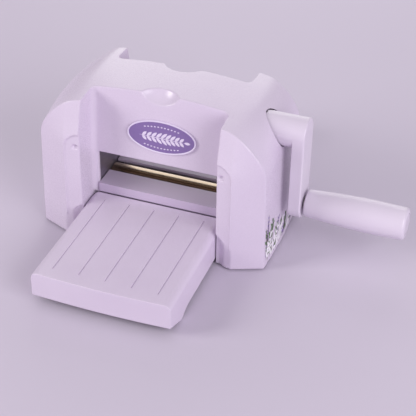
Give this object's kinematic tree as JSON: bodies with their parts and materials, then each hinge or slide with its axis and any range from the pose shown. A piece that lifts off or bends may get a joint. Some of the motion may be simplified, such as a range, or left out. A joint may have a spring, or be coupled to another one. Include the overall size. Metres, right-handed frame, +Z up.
{
  "type": "die cutting machine",
  "caption": "Hand-cranked tabletop die cutting machine: arched lilac housing, through slot with two geared steel rollers, fold-up plate trays and a side crank with a spinning grip.",
  "frame": {"origin": "centre of the base's underside", "axes": "+X along the rollers towards the crank, +Y to the rear tray, +Z up"},
  "size_m": [0.2618, 0.2652, 0.1155],
  "materials": {
    "shell_plastic": "satin lilac moulded ABS",
    "tray_plastic": "satin lilac moulded ABS",
    "handle_plastic": "satin pale lilac moulded ABS",
    "deck_plastic": "satin mauve moulded ABS",
    "badge": "violet with a pale rim",
    "base_plastic": "matt grey moulded ABS",
    "rubber": "matt black",
    "plate_steel": "dark zinc-plated sheet",
    "bronze": "sintered bronze",
    "gear_steel": "cut steel",
    "roller_steel": "ground steel",
    "bright_steel": "zinc-plated steel"
  },
  "bodies": {
    "frame": {"housing": "shell_plastic", "base_pan": "base_plastic", "foot_left_front": "rubber", "housing_screw_left_front": "bright_steel", "frame_screw_left_front": "bright_steel", "foot_left_rear": "rubber", "housing_screw_left_rear": "bright_steel", "frame_screw_left_rear": "bright_steel", "foot_right_front": "rubber", "housing_screw_right_front": "bright_steel", "frame_screw_right_front": "bright_steel", "foot_right_rear": "rubber", "housing_screw_right_rear": "bright_steel", "frame_screw_right_rear": "bright_steel", "frame_plate_right": "plate_steel", "frame_plate_left": "plate_steel", "tie_bar_upper_front": "bright_steel", "tie_screw_upper_front_right": "bright_steel", "tie_screw_upper_front_left": "bright_steel", "tie_bar_upper_rear": "bright_steel", "tie_screw_upper_rear_right": "bright_steel", "tie_screw_upper_rear_left": "bright_steel", "tie_bar_lower_front": "bright_steel", "tie_screw_lower_front_right": "bright_steel", "tie_screw_lower_front_left": "bright_steel", "tie_bar_lower_rear": "bright_steel", "tie_screw_lower_rear_right": "bright_steel", "tie_screw_lower_rear_left": "bright_steel", "lower_bush_right": "bronze", "lower_bush_left": "bronze", "upper_bush_right": "bronze", "upper_bush_left": "bronze", "crank_bush_right": "bronze", "crank_bush_left": "bronze", "front_deck": "deck_plastic", "rear_deck": "deck_plastic", "hinge_pin_left_front": "bright_steel", "hinge_pin_left_rear": "bright_steel", "hinge_pin_right_front": "bright_steel", "hinge_pin_right_rear": "bright_steel", "badge": "badge"},
    "crank": {"crank_arm": "handle_plastic", "crank_shaft": "bright_steel", "crank_pinion": "gear_steel", "hub_pin": "bright_steel", "handle_spindle": "bright_steel"},
    "grip": {"handle_grip": "handle_plastic", "grip_cap": "handle_plastic"},
    "upper_rollers": {"upper_roller": "roller_steel", "drive_gear": "gear_steel", "sync_gear_upper": "gear_steel"},
    "lower_rollers": {"lower_roller": "roller_steel", "sync_gear_lower": "gear_steel"},
    "front_tray": {"front_tray": "tray_plastic"},
    "rear_tray": {"rear_tray": "tray_plastic"}
  },
  "joints": [
    {"name": "crank_turn", "type": "hinge", "parent": "frame", "child": "crank", "pos_m": [0.09, 0, 0.09242], "axis": [1, 0, 0], "continuous": true},
    {"name": "grip_spin", "type": "hinge", "parent": "crank", "child": "grip", "pos_m": [0.14, 0, 0.03572], "axis": [1, 0, 0], "continuous": true},
    {"name": "upper_roller_turn", "type": "hinge", "parent": "frame", "child": "upper_rollers", "pos_m": [0, 0, 0.0593], "axis": [1, 0, 0], "continuous": true},
    {"name": "lower_roller_turn", "type": "hinge", "parent": "frame", "child": "lower_rollers", "pos_m": [0, 0, 0.0233], "axis": [1, 0, 0], "continuous": true},
    {"name": "front_tray_fold", "type": "hinge", "parent": "frame", "child": "front_tray", "pos_m": [0, -0.0371, 0.0157], "axis": [-1, 0, 0], "range_deg": [0, 90]},
    {"name": "rear_tray_fold", "type": "hinge", "parent": "frame", "child": "rear_tray", "pos_m": [0, 0.0371, 0.0157], "axis": [1, 0, 0], "range_deg": [0, 90]}
  ],
  "couplings": [
    {"joint": "upper_roller_turn", "follows": "crank_turn", "ratio": -0.35897},
    {"joint": "lower_roller_turn", "follows": "crank_turn", "ratio": 0.35897}
  ]
}
